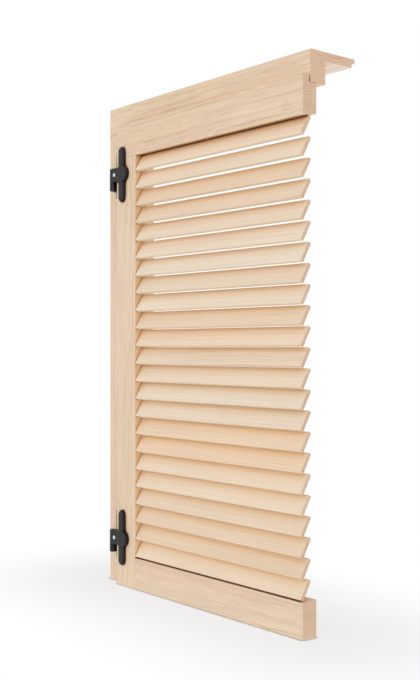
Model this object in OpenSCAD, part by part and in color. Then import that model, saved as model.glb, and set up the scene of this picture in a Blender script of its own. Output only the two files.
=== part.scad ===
// Louvred shutter leaf, hinged at the left in its own frame and sawn off square at the right.
// Shop directions: X runs right from the frame's outer face, Y runs back from the leaf's front
// face, and Z runs up from the base. place() then puts the origin in the middle of the base.

/* [Frame] */
// Overall width, from the frame's outer face to the sawn section
frame_w = 602; // [450:1:1200]
// Overall height
frame_h = 1002; // [800:1:2000]
// Face width of the head and the jamb
frame_face = 57; // [52:0.5:90]
// Depth of the head and the jamb
frame_depth = 36.5; // [32:0.5:80]
// Rounding of the long edges of frame, linings, stile and rails
edge_r = 1; // [0.4:0.1:2]

/* [Linings] */
// Thickness of the lining boards behind the frame
lining_t = 16; // [14:0.5:25]
// Depth of a lining, from the frame's back to the shoulder of its tongue
lining_depth = 66; // [60:1:200]
// Thickness of the tongue on a lining's back edge
tongue_t = 8; // [5:0.5:10]
// Length of that tongue
tongue_l = 7.5; // [4:0.5:15]
// Diameter of the wall fixing holes through the linings
fixing_d = 6.5; // [4:0.5:9]
// Distance of a fixing hole from the end of its lining
fixing_inset = 150; // [100:1:180]
// Distance of the fixing holes behind the frame
fixing_setback = 33; // [20:1:45]

/* [Leaf] */
// Thickness of the leaf
leaf_t = 32; // [28:0.5:45]
// Thickness of the lip that laps over the frame
lip_t = 15; // [12:0.5:18]
// Width of that lip
lip_w = 12; // [9:0.5:16]
// Gap between the lip's back and the frame's face
lip_gap = 2.5; // [1:0.1:5]
// Gap between the leaf's hinge edge and the jamb
hinge_gap = 5.5; // [2:0.5:7]
// Gap between the leaf's top edge and the head
head_gap = 0.6; // [0.4:0.1:4]
// Face width of the stile, lip included
stile_w = 65; // [60:0.5:90]
// Height of the bottom rail at its front
bottom_rail_h = 63; // [50:0.5:72]
// Slope of the bottom rail's top, rising to the back
sill_slope = 3.5; // [0:0.5:8]
// Face height of the top rail, lip included
top_rail_h = 68.6; // [64:0.1:84]
// Slope of the top rail's underside, rising to the back
rail_bevel = 8; // [0:0.5:15]

/* [Corner joints] */
// Thickness of the tenons
tenon_t = 10; // [8:0.5:14]
// Length of the tenons
tenon_l = 33; // [20:1:36]
// Shoulder beside a tenon
tenon_shoulder = 12; // [8:0.5:14]
// Clearance round tenons, dowels and bolts
joint_play = 0.1; // [0.05:0.01:0.2]
// Diameter of the dowels between head and jamb
corner_dowel_d = 10; // [8:0.5:12]
// Length of those dowels
corner_dowel_l = 50; // [30:1:70]
// Diameter of the lining dowels
lining_dowel_d = 6; // [5:0.5:7]
// Length of the lining dowels
lining_dowel_l = 30; // [16:1:36]
// Distance of the outer lining dowels from the end of a lining
lining_dowel_inset = 80; // [60:1:95]

/* [Slats] */
// Number of slats
slat_count = 23; // [16:1:26]
// Width of a slat along its slope
slat_w = 37.8; // [32:0.1:40]
// Thickness of a slat
slat_t = 7; // [6:0.25:9]
// Rounding of a slat's edges
slat_edge_r = 1.5; // [0.75:0.25:2.75]
// Tilt of the slats from level, lower edge to the front
slat_tilt = 60.5; // [50:0.5:66]
// Setback of the slats from the leaf's front face
slat_setback = 0.85; // [0.5:0.05:4]
// Gap from the lowest slat to the bottom rail
low_slat_gap = 0.9; // [0.3:0.1:3]
// Gap from the highest slat to the top rail
top_slat_gap = 0.4; // [0.3:0.1:3]
// Depth of the slat housings in the stile
housing_depth = 10; // [6:0.5:12]
// Clearance of a slat in its housing
housing_play = 0.15; // [0.05:0.05:0.25]
// Length by which the slats stop short of the sawn section
slat_short = 5.7; // [0:0.1:12]

/* [Hinge places] */
// Height of the lower hinge's arm above the base
hinge_low = 98; // [90:1:150]
// Distance of the upper hinge's arm below the leaf's top
hinge_top = 102.4; // [101:0.1:150]
// Height of the lower strap's middle above its arm
low_strap_rise = 2; // [-3:0.5:3]
// Height of the upper strap's middle above its arm
top_strap_rise = -1; // [-3:0.5:3]
// Height of the lower pintle plate's middle above its arm
low_plate_rise = 1.6; // [0:0.1:6]
// Height of the upper pintle plate's middle above its arm
top_plate_rise = 5.4; // [0:0.1:6]
// Distance of the pin's axis from the lip's edge
pin_inset = 11.5; // [9:0.5:16]
// Distance of the pin's axis in front of the leaf
pin_out = 1.5; // [0.5:0.1:3]
// Distance of the strap's middle from the lip's edge
strap_inset = 23.5; // [22:0.5:27]
// Offset of the disc's middle from the strap's middle
disc_offset = 3.4; // [0:0.1:5]
// Distance of the lock screw from the lip's edge
lock_inset = 2.9; // [1:0.1:4]

/* [Hinge pieces] */
// Diameter of the hinge pin
pin_d = 8; // [6:0.5:9]
// Running clearance round the pin, on the radius
pin_play = 0.05; // [0.02:0.01:0.1]
// Height of the pin's tip above the hinge's middle
pin_rise = 10; // [4:0.5:11]
// Diameter of the knuckle and of the fixed barrel
knuckle_d = 14; // [12.5:0.5:16]
// Height of the knuckle and the arm
knuckle_h = 29; // [26:0.5:32]
// Height of the fixed barrel
barrel_h = 16.4; // [12:0.1:20]
// Thickness of the thrust washer
washer_t = 0.8; // [0.5:0.1:1.5]
// Running gap above the thrust washer
thrust_gap = 0.1; // [0.05:0.01:0.3]
// Width of the strap
strap_w = 18; // [15:0.5:20]
// Length of the strap
strap_l = 115; // [100:1:140]
// Thickness of the strap
strap_t = 7.5; // [5.5:0.1:8.5]
// Thickness of the strap at its tips
strap_tip = 4; // [3:0.1:5]
// Length of the slope towards a tip
strap_slope = 8; // [5:0.5:20]
// Rounding of the strap's long edges
strap_ease = 1.2; // [0.8:0.1:2.5]
// Thickness of the strap where the disc laps over it
strap_waist = 3.5; // [2.5:0.1:4]
// Clearance of the lap between strap and disc
lap_play = 0.1; // [0.05:0.01:0.2]
// Diameter of the disc
disc_d = 34; // [32:0.5:38]
// Height of the disc above the leaf's face
disc_t = 9.2; // [8.6:0.1:11]
// Width of the pintle plate
plate_w = 30.5; // [30:0.5:34]
// Height of the pintle plate
plate_h = 102; // [98:1:120]
// Thickness of the pintle plate
plate_t = 3; // [2.5:0.1:4]
// Thickness of the gusset that carries the barrel
gusset_t = 10; // [7:0.5:12]
// Drop of the gusset below the barrel, at the plate
gusset_drop = 2; // [0:0.5:6]

/* [Fasteners] */
// Diameter of the bolts through the stile
bolt_d = 6; // [5:0.5:6]
// Diameter of the bolt heads
bolt_head_d = 13; // [10:0.5:15]
// Height of the bolt heads
bolt_head_h = 3.5; // [2.5:0.1:5]
// Width across the flats of the sockets in the bolt heads
bolt_socket = 4; // [3:0.5:5]
// Depth of those sockets
bolt_socket_depth = 2; // [1:0.1:2.2]
// Distance of the strap bolts from the hinge's middle
strap_bolt_offset = 25; // [22:0.5:28]
// Skin left in front of the bolt ends
bolt_skin = 1.3; // [1:0.1:2]
// Diameter of the pintle screws
screw_d = 5; // [4:0.5:5]
// Length of the pintle screws
screw_l = 28; // [20:1:30]
// Diameter of the pintle screw heads
screw_head_d = 9; // [7.5:0.5:9.5]
// Distance of the pintle screws from the plate's sides
screw_edge = 6; // [5.5:0.5:6.5]
// Distance of the pintle screws from the plate's ends
screw_end = 10; // [7:0.5:14]
// Diameter of the lock screw's head
lock_head_d = 8; // [7:0.5:9]
// Height of the lock screw's head
lock_head_h = 1.6; // [1.2:0.1:2.5]
// Diameter of the lock screw's shank
lock_d = 5; // [4:0.5:6]
// Length of the lock screw's shank
lock_l = 6; // [4:0.5:7]
// Width across the flats of the lock screw's socket
lock_socket = 3; // [2.5:0.5:4]

/* [Hidden] */
$fn = 64;
// Excess of a cut past a face
cut = 1;
// Number of segments in an eased edge
ease_steps = 3;

// Frame faces
frame_front = lip_t + lip_gap;
frame_back = frame_front + frame_depth;
head_under = frame_h - frame_face;
lining_under = frame_h - lining_t;
lining_shoulder = frame_back + lining_depth;
lining_back = lining_shoulder + tongue_l;
fixing_y = frame_back + fixing_setback;

// Leaf edges
body_left = frame_face + hinge_gap;
lip_left = body_left - lip_w;
stile_right = lip_left + stile_w;
body_top = head_under - head_gap;
leaf_top = body_top + lip_w;
rail_under = leaf_top - top_rail_h;
tenon_y = (leaf_t - tenon_t) / 2;
stile_tenon_left = body_left + tenon_shoulder;
stile_tenon_right = stile_right - housing_depth - joint_play - cut;

// Slat section: its edge arcs have their centres at plus and minus these distances
arc_w = slat_w / 2 - slat_edge_r;
arc_t = slat_t / 2 - slat_edge_r;
arc_rise = arc_w * sin(slat_tilt) + arc_t * cos(slat_tilt);
arc_reach = arc_w * cos(slat_tilt) + arc_t * sin(slat_tilt);
arc_rise_back = arc_w * sin(slat_tilt) - arc_t * cos(slat_tilt);
arc_reach_front = arc_w * cos(slat_tilt) - arc_t * sin(slat_tilt);
slat_y = slat_setback + slat_edge_r + arc_reach;
low_front_z = sill_at(slat_y - arc_reach) + arc_rise_back;
low_back_z = sill_at(slat_y - arc_reach_front) + arc_rise;
top_front_z = under_at(slat_y + arc_reach_front) - arc_rise;
top_back_z = under_at(slat_y + arc_reach) - arc_rise_back;
slat_z_first = max(low_front_z, low_back_z) + (slat_edge_r + low_slat_gap) / cos(sill_slope);
slat_z_last = min(top_front_z, top_back_z) - (slat_edge_r + top_slat_gap) / cos(rail_bevel);
slat_pitch = (slat_z_last - slat_z_first) / (slat_count - 1);

// Heights of the arm, the strap's middle and the pintle plate's middle of each hinge
hinge_up = leaf_top - hinge_top;
low_hinge = [hinge_low, hinge_low + low_strap_rise, hinge_low + low_plate_rise];
top_hinge = [hinge_up, hinge_up + top_strap_rise, hinge_up + top_plate_rise];
hinges = [low_hinge, top_hinge];

// Hinge places, and heights about the middle of an arm
pin_x = lip_left - pin_inset;
strap_x = lip_left + strap_inset;
disc_x = strap_x + disc_offset;
lock_x = lip_left + lock_inset;
arm_front = pin_out + knuckle_d / 2;
knuckle_top = knuckle_h / 2;
barrel_top = -knuckle_top - thrust_gap - washer_t;
barrel_bottom = barrel_top - barrel_h;
pin_tip = 1.5;
disc_ease = 1.6;
knuckle_ease = 0.8;
plate_corner = 5;
plate_play = 0.2;
screw_head_h = (screw_head_d - screw_d) / 2;
screw_dx = plate_w / 2 - screw_edge;
screw_dz = plate_h / 2 - screw_end;
head_ease = 1;
lock_ease = lock_head_h / 2;
lock_socket_floor = lock_head_h / 4;

// Middle of the part's depth, from the lock screw's head to the lining's back edge
depth_front = -max(disc_t, arm_front + lock_head_h);
depth_middle = (depth_front + lining_back) / 2;

SLATS = [for (i = [1:slat_count]) slat_name(i)];

frame_wood = "#e3c9a6";
leaf_wood = "#e8d0b0";
slat_wood = "#ecd8bb";
dowel_wood = "#d9b98a";
black_iron = "#3a3a3c";
bright_steel = "#d8d8da";

function slat_name(i) = str("slat_", i < 10 ? "0" : "", i);

// Height of the bottom rail's top at a depth y
function sill_at(y) = bottom_rail_h + y * tan(sill_slope);

// Height of the top rail's underside at a depth y
function under_at(y) = rail_under + y * tan(rail_bevel);

// Heights of a hinge's arm, strap and pintle plate
function arm_z(hinge) = hinge[0];
function strap_z(hinge) = hinge[1];
function plate_z(hinge) = hinge[2];

// Points of an arc of radius r that rounds the corner b between its neighbours a and c
function round_corner(a, b, c, r) =
    let (
        u = (a - b) / norm(a - b),
        v = (c - b) / norm(c - b),
        half = acos(u * v) / 2,
        middle = b + (u + v) / norm(u + v) * r / sin(half),
        from = b + u * r / tan(half) - middle,
        to = b + v * r / tan(half) - middle,
        start = atan2(from[1], from[0]),
        turn = (atan2(to[1], to[0]) - start + 540) % 360 - 180
    )
    [
        for (i = [0:ease_steps])
            let (at = start + turn * i / ease_steps)
            middle + r * [cos(at), sin(at)]
    ];

// An outline with every corner rounded by r
function eased(points, r) =
    let (n = len(points))
    [
        for (i = [0:n - 1])
            each round_corner(points[(i + n - 1) % n], points[i], points[(i + 1) % n], r)
    ];

// Corners of a rectangle from its low corner a to its high corner b
function box_points(a, b) = [a, [b[0], a[1]], b, [a[0], b[1]]];

// Places of n items spread evenly from low to high
function spread(low, high, n) = [for (i = [0:n - 1]) low + (high - low) * i / (n - 1)];

// Shop directions to the part's own frame
module place() {
    translate([-frame_w / 2, -depth_middle, 0]) children();
}

// A section drawn in Y and Z, carried along X
module along_x(from, to) {
    translate([from, 0, 0]) rotate([90, 0, 90]) linear_extrude(to - from) children();
}

// A shape drawn along Z, turned to run forward from a point on the leaf or the frame
module facing_front(x, y, z) {
    translate([x, y, z]) rotate([90, 0, 0]) children();
}

// A block between two opposite corners
module block(a, b) {
    translate(a) cube(b - a);
}

// A plate outline with round corners, drawn about its middle
module plate_outline(w, h, r) {
    square([w - 2 * r, h], center = true);
    square([w, h - 2 * r], center = true);
    for (x = [-1, 1], y = [-1, 1]) translate([x * (w / 2 - r), y * (h / 2 - r)]) circle(r);
}

// A bar outline with half-round ends, drawn about its middle
module bar_outline(w, l) {
    square([w, l - w], center = true);
    for (y = [-1, 1]) translate([0, y * (l - w) / 2]) circle(w / 2);
}

// Section of a lining board, drawn from its outer face inward and from the frame's back
module lining_section() {
    polygon(eased([
        [frame_back, 0],
        [lining_back, 0],
        [lining_back, tongue_t],
        [lining_shoulder, tongue_t],
        [lining_shoulder, lining_t],
        [frame_back, lining_t]
    ], edge_r / 2));
}

// Section of a slat about its middle, grown on all sides for its housing
module slat_section(grow) {
    plate_outline(slat_w + 2 * grow, slat_t + 2 * grow, slat_edge_r + grow);
}

// A slat's solid at place i from the bottom, between two distances along X
module slat_bar(i, from, to, grow) {
    z = slat_z_first + slat_pitch * (i - 1);
    along_x(from, to) translate([slat_y, z]) rotate(slat_tilt) slat_section(grow);
}

// Dowels between head and jamb
module corner_dowel_set(grow) {
    for (x = [frame_face / 3, frame_face * 2 / 3])
        translate([x, (frame_front + frame_back) / 2, head_under])
            cylinder(d = corner_dowel_d + 2 * grow, h = corner_dowel_l + 2 * grow, center = true);
}

// Dowels between the frame's back and the linings
module lining_dowel_set(grow) {
    d = lining_dowel_d + 2 * grow;
    h = lining_dowel_l + 2 * grow;
    for (x = spread(lining_dowel_inset, frame_w - lining_dowel_inset, 3))
        facing_front(x, frame_back, frame_h - lining_t / 2) cylinder(d = d, h = h, center = true);
    for (z = spread(lining_dowel_inset, lining_under - lining_dowel_inset, 3))
        facing_front(lining_t / 2, frame_back, z) cylinder(d = d, h = h, center = true);
}

// Dowels that stand in the jamb lining's top and reach half into the head lining
module lining_corner_dowel_set(grow) {
    reach = lining_t / 2;
    for (y = [fixing_y - fixing_setback / 2, fixing_y + fixing_setback / 2])
        translate([lining_t / 2, y, lining_under + reach + grow])
            mirror([0, 0, 1]) cylinder(d = lining_dowel_d + 2 * grow, h = lining_dowel_l + 2 * grow);
}

// A hinge's pintle plate, grown sideways for its recess in the jamb
module plate_body(hinge, grow) {
    facing_front(pin_x, frame_front + plate_t, plate_z(hinge))
        linear_extrude(plate_t) plate_outline(plate_w + 2 * grow, plate_h + 2 * grow, plate_corner);
}

// A countersunk screw with its head's face at the plate's front
module pintle_screw_body(grow) {
    mirror([0, 0, 1]) {
        cylinder(d1 = screw_head_d + 2 * grow, d2 = screw_d + 2 * grow, h = screw_head_h);
        cylinder(d = screw_d + 2 * grow, h = screw_l + grow);
    }
}

// All the pintle screws of a hinge
module pintle_screw_set(hinge, grow) {
    for (x = [-1, 1], s = [-1, 1])
        facing_front(pin_x + x * screw_dx, frame_front, plate_z(hinge) + s * screw_dz)
            pintle_screw_body(grow);
}

// Shanks of a hinge's two strap bolts, from the leaf's back
module strap_bolt_shanks(hinge, grow) {
    for (s = [-1, 1])
        facing_front(strap_x, leaf_t, strap_z(hinge) + s * strap_bolt_offset)
            cylinder(d = bolt_d + 2 * grow, h = leaf_t + strap_t - bolt_skin + grow);
}

// Shank of a hinge's clamp bolt, from the leaf's back
module clamp_bolt_shank(hinge, grow) {
    facing_front(strap_x, leaf_t, arm_z(hinge))
        cylinder(d = bolt_d + 2 * grow, h = leaf_t + disc_t - bolt_skin + grow);
}

// Shank of a hinge's lock screw, from the arm's front
module lock_screw_shank(hinge, grow) {
    facing_front(lock_x, lock_l - arm_front + grow, arm_z(hinge))
        cylinder(d = lock_d + 2 * grow, h = lock_l + 2 * grow);
}

// A bolt head on the leaf's back, with a hexagon socket
module bolt_head(z) {
    facing_front(strap_x, leaf_t + bolt_head_h, z) difference() {
        rotate_extrude() polygon([
            [0, 0],
            [bolt_head_d / 2 - head_ease, 0],
            [bolt_head_d / 2, head_ease],
            [bolt_head_d / 2, bolt_head_h],
            [0, bolt_head_h]
        ]);
        translate([0, 0, -cut])
            cylinder(d = bolt_socket / cos(30), h = bolt_socket_depth + cut, $fn = 6);
    }
}

module frame_head() {
    color(frame_wood) place() difference() {
        along_x(0, frame_w)
            polygon(eased(box_points([frame_front, head_under], [frame_back, frame_h]), edge_r));
        corner_dowel_set(joint_play);
        lining_dowel_set(joint_play);
    }
}

module frame_jamb() {
    color(frame_wood) place() difference() {
        linear_extrude(head_under)
            polygon(eased(box_points([0, frame_front], [frame_face, frame_back]), edge_r));
        corner_dowel_set(joint_play);
        lining_dowel_set(joint_play);
        for (hinge = hinges) {
            plate_body(hinge, plate_play);
            translate([0, -plate_t, 0]) plate_body(hinge, plate_play);
            pintle_screw_set(hinge, joint_play);
        }
    }
}

module head_lining() {
    color(frame_wood) place() difference() {
        translate([0, 0, frame_h]) mirror([0, 0, 1]) along_x(0, frame_w) lining_section();
        lining_dowel_set(joint_play);
        lining_corner_dowel_set(joint_play);
        for (x = [fixing_inset, frame_w - fixing_inset])
            translate([x, fixing_y, lining_under - cut]) cylinder(d = fixing_d, h = lining_t + 2 * cut);
    }
}

module jamb_lining() {
    color(frame_wood) place() difference() {
        mirror([1, -1, 0]) linear_extrude(lining_under) lining_section();
        lining_dowel_set(joint_play);
        lining_corner_dowel_set(joint_play);
        for (z = [fixing_inset, lining_under - fixing_inset])
            translate([-cut, fixing_y, z]) rotate([0, 90, 0]) cylinder(d = fixing_d, h = lining_t + 2 * cut);
    }
}

module corner_dowels() {
    color(dowel_wood) place() corner_dowel_set(0);
}

module lining_dowels() {
    color(dowel_wood) place() lining_dowel_set(0);
}

module lining_corner_dowels() {
    color(dowel_wood) place() lining_corner_dowel_set(0);
}

// Tenon of the stile, grown for its mortise in the top rail
module stile_tenon(grow) {
    block(
        [stile_tenon_left - grow, tenon_y - grow, rail_under - cut],
        [stile_tenon_right + grow, tenon_y + tenon_t + grow, rail_under + tenon_l + grow]
    );
}

// Tenon of the bottom rail, grown for its mortise in the stile
module rail_tenon(grow) {
    block(
        [stile_right - tenon_l - grow, tenon_y - grow, tenon_shoulder - grow],
        [stile_right + cut, tenon_y + tenon_t + grow, bottom_rail_h - tenon_shoulder + grow]
    );
}

module stile() {
    color(leaf_wood) place() difference() {
        union() {
            intersection() {
                linear_extrude(leaf_top) polygon(eased([
                    [lip_left, 0],
                    [stile_right, 0],
                    [stile_right, leaf_t],
                    [body_left, leaf_t],
                    [body_left, lip_t],
                    [lip_left, lip_t]
                ], edge_r));
                along_x(lip_left - cut, stile_right + cut) polygon([
                    [-cut, 0],
                    [leaf_t + cut, 0],
                    [leaf_t + cut, under_at(leaf_t + cut)],
                    [-cut, under_at(-cut)]
                ]);
            }
            stile_tenon(0);
        }
        rail_tenon(joint_play);
        for (i = [1:slat_count])
            slat_bar(i, stile_right - housing_depth - housing_play, stile_right + cut, housing_play);
        for (hinge = hinges) {
            strap_bolt_shanks(hinge, joint_play);
            clamp_bolt_shank(hinge, joint_play);
        }
    }
}

module top_rail() {
    color(leaf_wood) place() difference() {
        along_x(lip_left, frame_w) polygon(eased([
            [0, rail_under],
            [leaf_t, under_at(leaf_t)],
            [leaf_t, body_top],
            [lip_t, body_top],
            [lip_t, leaf_top],
            [0, leaf_top]
        ], edge_r));
        block([lip_left - cut, lip_t, rail_under - cut], [body_left, leaf_t + cut, leaf_top + cut]);
        stile_tenon(joint_play);
    }
}

module bottom_rail() {
    color(leaf_wood) place() {
        along_x(stile_right, frame_w) polygon(eased([
            [0, 0],
            [leaf_t, 0],
            [leaf_t, sill_at(leaf_t)],
            [0, bottom_rail_h]
        ], edge_r));
        rail_tenon(0);
    }
}

module slat(i) {
    color(slat_wood) place() slat_bar(i, stile_right - housing_depth, frame_w - slat_short, 0);
}

// Vertical bar of a hinge: front outline, cross-section and side outline meet in its form
module hinge_strap(hinge) {
    half = strap_l / 2;
    back = strap_ease + cut;
    color(black_iron) place() difference() {
        translate([0, 0, strap_z(hinge)]) intersection() {
            facing_front(strap_x, 0, 0) linear_extrude(strap_t) bar_outline(strap_w, strap_l);
            translate([strap_x, 0, -half]) linear_extrude(strap_l)
                polygon(eased(box_points([-strap_w / 2, -strap_t], [strap_w / 2, back]), strap_ease));
            along_x(strap_x - strap_w, strap_x + strap_w) polygon([
                [back, -half],
                [-strap_tip, -half],
                [-strap_t, -half + strap_slope],
                [-strap_t, half - strap_slope],
                [-strap_tip, half],
                [back, half]
            ]);
        }
        translate([0, 0, arm_z(hinge)]) {
            facing_front(disc_x, -strap_waist, 0) cylinder(d = disc_d + 2 * lap_play, h = strap_t);
            block(
                [strap_x - strap_w, -strap_t - cut, -knuckle_top - lap_play],
                [disc_x, -strap_waist, knuckle_top + lap_play]
            );
        }
        strap_bolt_shanks(hinge, joint_play);
        clamp_bolt_shank(hinge, joint_play);
    }
}

// Disc, arm and knuckle of a hinge, lapped over the strap
module hinge_leaf(hinge) {
    r = disc_d / 2;
    bend = knuckle_d / 2;
    upper_front = [-arm_front, knuckle_top];
    lower_front = [-arm_front, -knuckle_top];
    color(black_iron) place() difference() {
        translate([0, 0, arm_z(hinge)]) difference() {
            union() {
                facing_front(disc_x, 0, 0) rotate_extrude() polygon([
                    [0, 0],
                    [r, 0],
                    each round_corner([r, 0], [r, disc_t], [0, disc_t], disc_ease),
                    [0, disc_t]
                ]);
                along_x(pin_x, disc_x) polygon([
                    [0, -knuckle_top],
                    [0, knuckle_top],
                    each round_corner([0, knuckle_top], upper_front, lower_front, knuckle_ease),
                    each round_corner(upper_front, lower_front, [0, -knuckle_top], knuckle_ease)
                ]);
                translate([pin_x, -pin_out, 0]) rotate_extrude() polygon([
                    [0, -knuckle_top],
                    [bend, -knuckle_top],
                    each round_corner([bend, 0], [bend, knuckle_top], [0, knuckle_top], knuckle_ease),
                    [0, knuckle_top]
                ]);
            }
            block(
                [strap_x - strap_w / 2 - lap_play, -strap_waist - lap_play, -disc_d],
                [strap_x + strap_w / 2 + lap_play, cut, disc_d]
            );
            translate([pin_x, -pin_out, 0])
                cylinder(d = pin_d + 2 * pin_play, h = knuckle_h + 2 * cut, center = true);
        }
        clamp_bolt_shank(hinge, joint_play);
        lock_screw_shank(hinge, joint_play);
    }
}

// Plate, gusset, barrel and pin of a hinge in one forging
module pintle(hinge) {
    bend = knuckle_d / 2;
    bottom = [0, barrel_bottom];
    plate_middle = frame_front + plate_t / 2;
    color(black_iron) place() difference() {
        union() {
            plate_body(hinge, 0);
            translate([0, 0, arm_z(hinge)]) {
                along_x(pin_x - gusset_t / 2, pin_x + gusset_t / 2) polygon([
                    [-pin_out, barrel_top],
                    [plate_middle, barrel_top],
                    [plate_middle, barrel_bottom - gusset_drop],
                    [-pin_out, barrel_bottom]
                ]);
                translate([pin_x, -pin_out, 0]) rotate_extrude() polygon([
                    bottom,
                    each round_corner(bottom, [bend, barrel_bottom], [bend, barrel_top], knuckle_ease),
                    [bend, barrel_top],
                    [pin_d / 2, barrel_top],
                    [pin_d / 2, pin_rise - pin_tip],
                    [pin_d / 2 - pin_tip, pin_rise],
                    [0, pin_rise]
                ]);
            }
        }
        pintle_screw_set(hinge, joint_play);
    }
}

module upper_strap() {
    hinge_strap(top_hinge);
}

module lower_strap() {
    hinge_strap(low_hinge);
}

module upper_hinge_leaf() {
    hinge_leaf(top_hinge);
}

module lower_hinge_leaf() {
    hinge_leaf(low_hinge);
}

module upper_pintle() {
    pintle(top_hinge);
}

module lower_pintle() {
    pintle(low_hinge);
}

module thrust_washers() {
    color(black_iron) place() for (hinge = hinges)
        translate([pin_x, -pin_out, arm_z(hinge) + barrel_top]) difference() {
            cylinder(d = knuckle_d - 2 * knuckle_ease, h = washer_t);
            translate([0, 0, -cut]) cylinder(d = pin_d + 2 * joint_play, h = washer_t + 2 * cut);
        }
}

module lock_screws() {
    color(bright_steel) place() for (hinge = hinges) {
        lock_screw_shank(hinge, 0);
        facing_front(lock_x, -arm_front, arm_z(hinge)) difference() {
            rotate_extrude() polygon([
                [0, 0],
                [lock_head_d / 2, 0],
                [lock_head_d / 2, lock_head_h - lock_ease],
                [lock_head_d / 2 - lock_ease, lock_head_h],
                [0, lock_head_h]
            ]);
            translate([0, 0, lock_socket_floor])
                cylinder(d = lock_socket / cos(30), h = lock_head_h, $fn = 6);
        }
    }
}

module strap_bolts() {
    color(bright_steel) place() for (hinge = hinges) {
        strap_bolt_shanks(hinge, 0);
        for (s = [-1, 1]) bolt_head(strap_z(hinge) + s * strap_bolt_offset);
    }
}

module clamp_bolts() {
    color(bright_steel) place() for (hinge = hinges) {
        clamp_bolt_shank(hinge, 0);
        bolt_head(arm_z(hinge));
    }
}

module pintle_screws() {
    color(bright_steel) place() for (hinge = hinges) pintle_screw_set(hinge, 0);
}

frame_head();
frame_jamb();
head_lining();
jamb_lining();
corner_dowels();
lining_dowels();
lining_corner_dowels();
stile();
top_rail();
bottom_rail();
for (i = [1:slat_count]) slat(i);
upper_strap();
lower_strap();
upper_hinge_leaf();
lower_hinge_leaf();
upper_pintle();
lower_pintle();
thrust_washers();
lock_screws();
strap_bolts();
clamp_bolts();
pintle_screws();
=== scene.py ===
"""Looks of a louvred shutter leaf in its frame: softwood, black hinges, steel fasteners and a studio."""

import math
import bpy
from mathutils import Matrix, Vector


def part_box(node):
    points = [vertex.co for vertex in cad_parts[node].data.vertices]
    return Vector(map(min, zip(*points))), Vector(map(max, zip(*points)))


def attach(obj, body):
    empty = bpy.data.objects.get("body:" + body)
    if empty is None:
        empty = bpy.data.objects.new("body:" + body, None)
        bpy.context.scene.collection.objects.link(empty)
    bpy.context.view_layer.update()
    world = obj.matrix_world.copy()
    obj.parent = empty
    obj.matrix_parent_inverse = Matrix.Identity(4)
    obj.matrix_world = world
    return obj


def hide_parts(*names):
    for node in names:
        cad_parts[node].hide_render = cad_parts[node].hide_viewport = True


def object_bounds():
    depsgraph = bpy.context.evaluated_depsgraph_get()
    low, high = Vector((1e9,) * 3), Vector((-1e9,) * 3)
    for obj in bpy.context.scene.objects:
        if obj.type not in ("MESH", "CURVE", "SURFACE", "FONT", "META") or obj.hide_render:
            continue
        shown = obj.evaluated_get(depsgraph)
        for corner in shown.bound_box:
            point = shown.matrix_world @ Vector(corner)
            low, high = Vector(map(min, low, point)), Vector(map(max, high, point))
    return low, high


bl_info = {
    "name": "Louvred Shutter",
    "version": (1, 0, 0),
    "blender": (4, 5, 0),
    "location": "3D View > Sidebar > Shutter",
    "description": "Dresses a louvred shutter leaf and its frame, and sets up a pale studio round them",
    "category": "Object",
}

import bpy
import numpy as np
from bpy.props import FloatProperty, FloatVectorProperty, IntProperty, PointerProperty

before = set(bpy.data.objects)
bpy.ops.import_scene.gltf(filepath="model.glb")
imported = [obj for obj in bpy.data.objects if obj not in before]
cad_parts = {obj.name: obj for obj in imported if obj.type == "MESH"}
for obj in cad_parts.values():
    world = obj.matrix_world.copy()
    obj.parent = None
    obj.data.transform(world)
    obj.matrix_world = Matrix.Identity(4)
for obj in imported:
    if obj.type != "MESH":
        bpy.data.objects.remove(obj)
CAD_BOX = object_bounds()

IMAGE_W, IMAGE_H = 420, 680
SENSOR = 36.0
MM = 0.001
WHITE = (1.0, 1.0, 1.0, 1.0)

SLATS = sorted(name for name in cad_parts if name.startswith("slat_"))
HINGES = ("upper", "lower")

# Order of the object's axes as along, across and up a piece whose grain runs along that axis
GRAIN_ORDER = {"X": ("X", "Y", "Z"), "Z": ("Z", "X", "Y")}

# Grain axis of each timber, and its pith's place across and up from the timber's middle, in millimetres
FRAME_TIMBERS = {
    "frame_head": ("X", (-4, 84)),
    "frame_jamb": ("Z", (96, 38)),
    "head_lining": ("X", (-12, 62)),
    "jamb_lining": ("Z", (64, -30)),
}
LEAF_TIMBERS = {
    "stile": ("Z", (-118, 26)),
    "top_rail": ("X", (6, 95)),
    "bottom_rail": ("X", (10, 150)),
}
# Painted light: the face of each lining that looks into the opening, by its axis and sign, and the paler
# colour it leans to, which stands in for the light that face gets
PAINTED_LIGHT_FACES = {
    "head_lining": ("Z", -1.0, "lining_colour"),
    "jamb_lining": ("X", 1.0, "reveal_colour"),
}
DOWELS = ("corner_dowels", "lining_dowels", "lining_corner_dowels")
IRONS = ("thrust_washers", *(f"{hinge}_{part}" for hinge in HINGES for part in ("hinge_leaf", "pintle")))
# Nodes of the bolts, with the piece that stands for each and the iron whose middle sets its height
BOLT_SETS = {
    "strap_bolts": ("strap_bolt_set", "strap"),
    "clamp_bolts": ("clamp_bolt_set", "hinge_leaf"),
}

# Mean of a noise and of a random draw
MEAN = 0.5
# Noises in the wood: changes in a metre along, across and up the grain, then the levels of detail
BEND = (1.3, 0.0, 0.0, 1.0)
RIPPLE = (5.0, 24.0, 24.0, 2.0)
SWAY = (11.0, 18.0, 18.0, 2.0)
FIBRE = (16.0, 1300.0, 1300.0, 1.0)
STREAK = (1.8, 240.0, 240.0, 3.0)
VEIN = (1.6, 210.0, 210.0, 2.0)
DASH = (8.0, 250.0, 250.0, 2.0)
CLOUD = (3.2, 16.0, 16.0, 2.0)
GLOW = (2.2, 70.0, 70.0, 1.0)
PATCH = (2.0, 30.0, 30.0, 1.0)
# Changes of the pace of growth in a year, and how many years it puts a ring forward or back
PACE = (0.31, 0.0, 0.0, 1.0)
PACE_SPREAD = 3.0
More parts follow.
